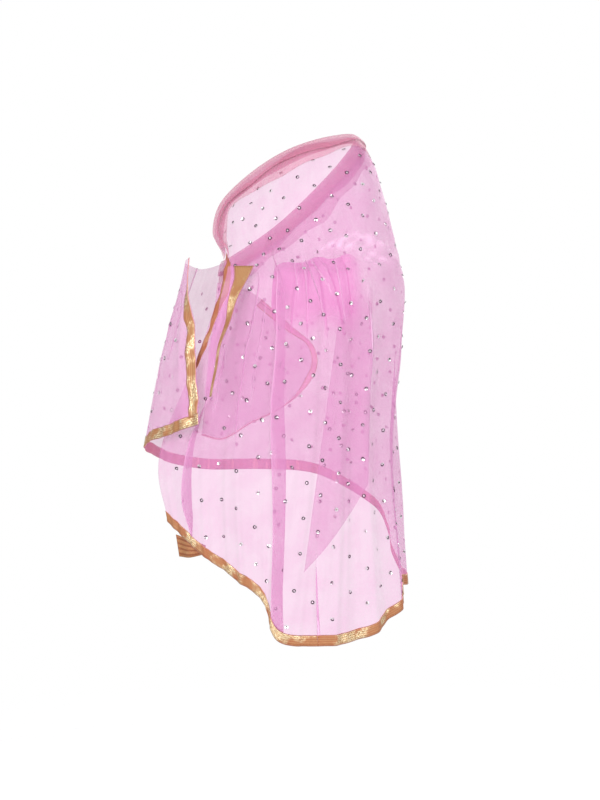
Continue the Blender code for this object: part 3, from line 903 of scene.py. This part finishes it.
def hemBand(name, nodes, spans, material):
    # lace along the lower edge of the drape
    cells = laceBand["cells"]
    falls, downs, down = patch(
        spread(spans), lambda length: np.linspace(length - wornNet["lace"], length, cells + 1))
    grid = foldedAt(falls, downs)
    place = flatPlaces(runAcross(grid), down - down[:, :1])
    piece = shell(name, grid, place, material, wall["lace"], laceBand["lift"], reverse)
    return dress(piece, nodes)


def sideLace(name, nodes, edge, inward, firstDown, lastDown, material, widths, sway):
    # lace along an upright edge of the drape; widths: (share along, share of the full width),
    # narrower where it is rolled or turned edge-on; sway: how far it wanders in from the edge
    cells, rows, reach = laceBand["cells"], laceBand["sideRows"], laceBand["reach"]
    grid = np.zeros((cells + 1, rows + 1, 3))
    for j, share in enumerate(np.linspace(0, 1, rows + 1)):
        d = firstDown + (lastDown - firstDown) * share
        line = foldedAt(edge + inward * reach, np.full(len(reach), d))
        run = lengthsAlong(line)
        width = wornNet["lace"] * np.interp(share, *zip(*widths))
        start = sway * (0.5 + 0.35 * math.sin(28 * share) + 0.15 * math.sin(61 * share + 1))
        at = np.interp(np.linspace(start, start + width, cells + 1), run, reach)
        grid[:, j] = foldedAt(edge + inward * at, np.full(cells + 1, d))
    if inward < 0:
        grid = grid[::-1]
    piece = shell(name, grid, ribbonPlaces(lengthsAlong(grid[0]), cells), material, wall["lace"],
                  laceBand["lift"], reverse)
    return dress(piece, nodes)


worn, wornDots = addWornNet()
frontHem = hemBand("frontHemLace", ["front_hem_lace"], ((0.0, 8.0, 360),), hemLace)
backHem = hemBand("backHemLace", ["back_hem_lace"], ((8.0, 14.0, 110),), hemLace)
tailHem = hemBand("tailHemLace", ["tail_lace"], ((14.0, 17.0, 100),), tailLace)
tailSide = sideLace("tailSideLace", ["tail_lace"], 17.0, -1.0, 0.0, 0.93, tailLace,
                    ((0, 0.18), (0.14, 0.30), (0.20, 0.70), (0.32, 0.95), (0.40, 0.75), (0.5, 1.0), (1, 1)),
                    0.003)
leadSide = sideLace("leadSideLace", ["lead_lace"], 0.0, 1.0, 0.14, 0.53, leadLace,
                    ((0, 0.50), (0.15, 0.45), (0.30, 0.34), (0.40, 0.75), (0.50, 0.98), (0.60, 0.80),
                     (0.72, 0.30), (0.84, 0.52), (0.93, 0.30), (1, 0.12)), 0.005)
print("worn net and its lace are made")

# the doubled strip along the neck edge: the cloth rolled over and under
neckFold = {
    "spans": ((0.0, 8.0, 170), (8.0, 13.0, 70)),
    # distance in from the edge and distance out from the cloth, going round the roll
    "roll": ((0.068, 0.0016), (0.050, 0.0034), (0.034, 0.0048), (0.024, 0.0060), (0.031, 0.0070),
             (0.042, 0.0078), (0.034, 0.0088), (0.016, 0.0082), (0.000, 0.0062), (-0.0030, 0.0020),
             (-0.0015, -0.0026), (0.009, -0.0034), (0.026, -0.0030), (0.036, -0.0042), (0.028, -0.0056),
             (0.012, -0.0056)),
    "turns": 46,            # points round the roll
    "fullness": 1.15,
    "flat": (0.19, 1.05),
}


def addNeckFold():
    fall = spread(neckFold["spans"])
    lengths = lengthsDown(fall)
    roll = np.array(neckFold["roll"])
    turns = np.linspace(0, len(roll) - 1, neckFold["turns"])
    path = smoothRead(lambda k: roll[k], range(len(roll)), turns)
    edge = foldedAt(fall, np.zeros_like(fall))
    below = foldedAt(fall, np.full_like(fall, 0.01))
    downward = unit(below - edge)
    outward = outwardAt(fall, np.full_like(fall, 0.005))
    grid = np.zeros((len(fall), len(path), 3))
    for j, (inFrom, out) in enumerate(path):
        wave = 0.12 * np.sin(2.1 * fall + 0.15 * j) + 0.05 * np.sin(5.3 * fall + 0.3 * j)
        reach = inFrom * (1 + wave) if inFrom > 0.005 else np.full_like(fall, inFrom)
        down = np.array([np.interp(max(r, 0), run, fineDowns) for r, run in zip(reach, lengths)])
        base = foldedAt(fall, down) + np.minimum(reach, 0)[:, None] * downward
        grid[:, j] = base + outward * (out * neckFold["fullness"])
    grid = grid[:, ::-1]
    across = runAcross(grid)
    steps = np.linalg.norm(np.diff(grid, axis=1), axis=-1).mean(axis=0)
    down = np.concatenate([[0], np.cumsum(steps)])
    piece = shell("neckFoldNet", grid, flatPlaces(across, down), rosyNet, wall["net"])
    dress(piece, ["neck_fold"])


neckLace = {
    "span": (3.75, 5.25),
    "rise": 0.009,
    "drop": 0.014,
    "behind": 0.0078,
}


def addNeckLace():
    fall = np.linspace(*neckLace["span"], 40)
    edge = foldedAt(fall, np.zeros_like(fall))
    downward = unit(foldedAt(fall, np.full_like(fall, 0.02)) - edge)
    outward = outwardAt(fall, np.full_like(fall, 0.005))
    rise = neckLace["rise"] * np.sin(math.pi * (fall - fall[0]) / (fall[-1] - fall[0]))
    share = np.linspace(0, 1, 5)
    reach = neckLace["drop"] * share[None] - rise[:, None] * (1 - share[None])
    grid = edge[:, None] + downward[:, None] * reach[..., None] - outward[:, None] * neckLace["behind"]
    across = runAcross(grid)
    piece = shell("neckEdgeLace", grid, flatPlaces(across, share * 0.02), leafLace, wall["lace"])
    dress(piece, ["neck_lace"])


addNeckFold()
addNeckLace()
print("neck fold is made")

# the loop of slack under the forearm
swag = {
    "top": ((-0.205, -0.150, 1.150), (-0.140, -0.150, 1.135)),
    "edge": ((-0.240, -0.160, 0.806), (-0.190, -0.178, 0.798), (-0.129, -0.185, 0.833),
             (-0.070, -0.188, 0.862), (-0.018, -0.188, 0.901), (0.018, -0.186, 0.955),
             (0.010, -0.182, 1.008), (-0.040, -0.178, 1.053), (-0.105, -0.172, 1.112)),
    "sag": 0.012,
    "folds": (0.0045, 34.0),        # height in metres, and waves round the loop
    "fineFolds": (0.0016, 75.0),
    "columns": 100,
    "rows": 50,
    "lacePoints": 121,
    "laceClear": 0.0018,            # how far its lace stands off the net
    # share of the way round, share of its full width that shows
    "laceWidths": ((0, 0.16), (0.2, 0.14), (0.42, 0.12), (0.48, 0.22), (0.58, 0.55), (0.68, 0.50),
                   (0.80, 0.36), (0.88, 0.6), (1, 0.75)),
    "flat": (0.24, 0.29),
}


def evenRows(read, across, rows):
    # grid of read(a, d) with its rows evenly spaced by length
    shares = np.linspace(0, 1, 60)
    grid, distances = [], []
    for a in across:
        run = read(np.full(len(shares), a), shares)
        length = lengthsAlong(run)
        marks = np.linspace(0, length[-1], rows + 1)
        grid.append(read(np.full(rows + 1, a), np.interp(marks, length, shares)))
        distances.append(marks)
    return np.array(grid), np.array(distances)


def swagAt(a, d):
    edge = np.array(swag["edge"])
    places = np.linspace(0, 1, len(edge))
    foot = smoothRead(lambda k: edge[k], places, a)
    top = np.array(swag["top"][0]) * (1 - a[:, None]) + np.array(swag["top"][1]) * a[:, None]
    point = top + (foot - top) * d[:, None]
    point[:, 1] -= swag["sag"] * np.sin(math.pi * d)
    height, waves = swag["folds"]
    fold = height * np.sin(waves * a + 2.0 * np.sin(3 * d)) * np.sin(math.pi * np.minimum(d, 0.55))
    fineHeight, fineWaves = swag["fineFolds"]
    point[:, 1] += fold + fineHeight * np.sin(fineWaves * a) * d
    return point


def swagRibbon(grid):
    # a band along the loop's edge, lying on the cloth
    share = np.linspace(0, 1, swag["lacePoints"])
    edge = swagAt(share, np.ones_like(share))
    cells = laceBand["cells"]
    tangent = np.gradient(edge, axis=0)
    inward = unit(np.stack([-tangent[:, 2], 0 * share, tangent[:, 0]], -1))
    widths = wornNet["lace"] * np.interp(share, *zip(*swag["laceWidths"]))
    reach = widths[:, None] * np.linspace(0, 1, cells + 1)
    ribbon = edge[:, None] + inward[:, None] * reach[..., None]
    cloth = grid.reshape(-1, 3)
    off = ribbon[:, :, None, [0, 2]] - cloth[None, None, :, [0, 2]]
    weight = np.exp(-(off ** 2).sum(-1) / 0.004 ** 2) + 1e-9 * np.exp(-(off ** 2).sum(-1) / 0.02 ** 2)
    ribbon[..., 1] = (weight * cloth[:, 1]).sum(-1) / weight.sum(-1) - swag["laceClear"]
    ribbon = ribbon[:, ::-1]
    return ribbon, flatPlaces(runAcross(ribbon), np.linspace(0, wornNet["lace"], cells + 1))


def addSwag():
    grid, down = evenRows(swagAt, np.linspace(0, 1, swag["columns"] + 1), swag["rows"])
    along = runAcross(grid[:, 30:])
    piece = shell("swagNet", grid, flatPlaces(along, down), net, wall["net"])
    dress(piece, ["forearm_swag"])
    trim = shell("swagLace", *swagRibbon(grid), paleReverse, wall["lace"])
    dress(trim, ["swag_lace"])
    dots = addSequins("swagSequins", grid, along, down, (0.02, 0.02, 0.08, 0.03), 11)


addSwag()

# the leaf of slack over the forearm
leaf = {
    "inner": ((-0.178, -0.236, 1.182), (-0.192, -0.262, 1.110), (-0.210, -0.264, 1.040),
              (-0.222, -0.262, 0.970), (-0.229, -0.260, 0.893)),
    "outer": ((-0.121, -0.240, 1.182), (-0.154, -0.270, 1.110), (-0.180, -0.275, 1.040),
              (-0.199, -0.272, 0.970), (-0.213, -0.268, 0.893)),
    "flat": (0.036, 0.32),
    # share of the way down, width of the lace that shows
    "laceWidths": ((0, 0.044), (0.10, 0.030), (0.25, 0.021), (0.45, 0.011), (0.6, 0.007), (1, 0.005)),
    "rows": 56,
    "laceCells": 4,
}


def leafAt(a, d):
    places = np.linspace(0, 1, len(leaf["inner"]))
    inner, outer = (smoothRead(lambda k, line=line: np.array(leaf[line])[k], places, d)
                    for line in ("inner", "outer"))
    point = inner * (1 - a[:, None]) + outer * a[:, None]
    point[:, 1] -= 0.006 * np.sin(2 * math.pi * a) * np.sin(math.pi * np.clip(d * 1.2, 0, 1))
    point[:, 0] += 0.003 * np.sin(16 * d + 1.0) * d * (1 - d) * 3
    return point


def addLeaf():
    rows, cells = leaf["rows"], leaf["laceCells"]
    grid, down = evenRows(leafAt, np.linspace(0, 1, 21), rows)
    piece = shell("leafNet", grid, flatPlaces(runAcross(grid), down), net, wall["net"])
    dress(piece, ["forearm_leaf"])
    edge = np.zeros((cells + 1, rows + 1, 3))
    for j, d in enumerate(np.linspace(0, 1, rows + 1)):
        width = np.interp(d, *zip(*leaf["laceWidths"]))
        inner, outer = leafAt(np.array([0.0, 1.0]), np.full(2, d))
        a = 1 - np.linspace(min(width / np.linalg.norm(outer - inner), 1), 0, cells + 1)
        edge[:, j] = leafAt(a, np.full(cells + 1, d))
    place = ribbonPlaces(down.mean(axis=0), cells)
    trim = shell("leafLace", edge, place, leafLace, wall["lace"], laceBand["lift"])
    dress(trim, ["leaf_lace"])


addLeaf()
print("loop and leaf of slack are made")

# the doubled length gathered over the forearm
wrap = {
    # each fall from over the arm down to the foot: along, behind, height
    "falls": (
        ((-0.074, -0.176, 1.185), (-0.078, -0.222, 1.160), (-0.082, -0.226, 1.090), (-0.070, -0.224, 1.010)),
        ((-0.018, -0.182, 1.197), (-0.020, -0.228, 1.165), (-0.022, -0.230, 1.085), (-0.020, -0.226, 0.985)),
        ((0.038, -0.187, 1.203), (0.040, -0.230, 1.165), (0.042, -0.230, 1.080), (0.040, -0.226, 0.975)),
        ((0.090, -0.187, 1.208), (0.095, -0.222, 1.165), (0.097, -0.222, 1.085), (0.090, -0.216, 0.990)),
        ((0.125, -0.170, 1.198), (0.130, -0.195, 1.160), (0.130, -0.196, 1.095), (0.125, -0.194, 1.035)),
    ),
    # pleats that spread from the knot: paths of (share down, share across)
    "pleats": (
        (((0.0, 0.30), (0.4, 0.22), (1.0, 0.16)), 0.022, 0.005, 0.004, 0.0016, -0.3, 1.3, 0.2),
        (((0.0, 0.34), (0.4, 0.33), (1.0, 0.32)), 0.022, 0.006, 0.004, 0.0016, -0.3, 1.3, 0.2),
        (((0.0, 0.38), (0.4, 0.44), (1.0, 0.52)), 0.024, 0.006, 0.005, 0.0018, -0.3, 1.3, 0.2),
        (((0.0, 0.42), (0.4, 0.56), (1.0, 0.70)), 0.022, 0.005, 0.004, 0.0016, -0.3, 1.3, 0.2),
        (((0.0, 0.66), (0.5, 0.72), (1.0, 0.78)), 0.020, 0.004, 0.003, 0.0014, -0.3, 1.3, 0.2),
    ),
    "flat": (0.26, 0.22),
    "width": 0.2,        # as it lies over the arm
}


def loft(lines, a, d):
    # smooth across lines that run down side by side
    lines = np.array(lines)
    places, steps = np.linspace(0, 1, len(lines)), np.linspace(0, 1, lines.shape[1])
    return smoothRead(lambda i: smoothRead(lambda k: lines[i, k], steps, d), places, a)


def wrapAt(a, d):
    shift, lift = tucked(a, d, wrap["pleats"], wrap["width"])
    point = loft(wrap["falls"], np.clip(a + shift, 0, 1), d)
    crumple = np.exp(-((a - 0.85) / 0.22) ** 2 - ((d - 0.1) / 0.25) ** 2)
    lift = lift + 0.0035 * np.sin(26 * d + 17 * a) * crumple
    lift = lift + 0.0016 * np.sin(31 * a + 3 * d)
    point[:, 1] -= lift
    point[:, 2] += 0.004 * np.sin(19 * a) * (1 - d) ** 2
    return point


def addWrap():
    across = np.linspace(0, 1, 221)
    grid, down = evenRows(wrapAt, across, 60)
    along = runAcross(grid)
    look = netMaterial("gatheredNet", tone="litPink", cover=1.9, fadeOut=(0.115, 0.215),
                       fadeSide=(0.70 * along[-1], along[-1]))
    # painted highlight along the pleats, fading out towards the foot
    light = foldLightAt(*np.meshgrid(across, np.linspace(0, 1, 61), indexing="ij"), wrap["pleats"])
    piece = shell("forearmWrapNet", grid, flatPlaces(along, down), look, wall["net"],
                  light=light * (1 - down / down.max()))
    dress(piece, ["forearm_wrap"])


# the doubled length inside the front, at the elbow
innerFall = {
    "falls": (
        ((0.080, -0.190, 1.160), (-0.010, -0.205, 0.502)),
        ((0.100, -0.185, 1.162), (0.038, -0.202, 0.556)),
        ((0.122, -0.175, 1.162), (0.084, -0.190, 0.618)),
        ((0.145, -0.160, 1.160), (0.134, -0.165, 0.697)),
    ),
    "flat": (0.10, 0.56),
}


def innerAt(a, d):
    point = loft(innerFall["falls"], a, d)
    point[:, 1] += 0.004 * np.sin(9 * a + 1.5 * d) * ease(d, 0.05, 0.4)
    return point


def addInnerFall():
    across = np.linspace(0, 1, 41)
    grid, down = evenRows(innerAt, across, 60)
    look = netMaterial("innerNet", fadeIn=(0.0, 0.09))
    piece = shell("innerFallNet", grid, flatPlaces(runAcross(grid), down), look, wall["net"])
    dress(piece, ["inner_fall"])
    dots = addSequins("innerSequins", grid, runAcross(grid), down, (0.015, 0.015, 0.05, 0.03), 17)


addWrap()
addInnerFall()

# the lead corner turned under behind the hem
corner = {
    "upper": ((-0.300, -0.122, 0.582), (-0.270, -0.142, 0.572), (-0.231, -0.160, 0.560)),
    "lower": ((-0.292, -0.126, 0.532), (-0.266, -0.144, 0.531), (-0.231, -0.162, 0.540)),
    "laceFrom": (0.002, 0.023),     # the part of the lace's width that shows
}


def addCorner():
    share = np.linspace(0, 1, 21)
    upper, lower = (smoothRead(lambda k, line=line: np.array(corner[line])[k], (0, 0.5, 1), share)
                    for line in ("upper", "lower"))
    down = np.linspace(0, 1, 7)[None, :, None]
    grid = upper[:, None] * (1 - down) + lower[:, None] * down
    grid[..., 1] += 0.003 * np.sin(11 * share)[:, None]
    place = flatPlaces(runAcross(grid), np.linspace(*corner["laceFrom"], 7))
    piece = shell("cornerLace", grid, place, cornerLace, wall["lace"])
    dress(piece, ["lead_corner"])


addCorner()
print("slack, inner fall and corner are made")
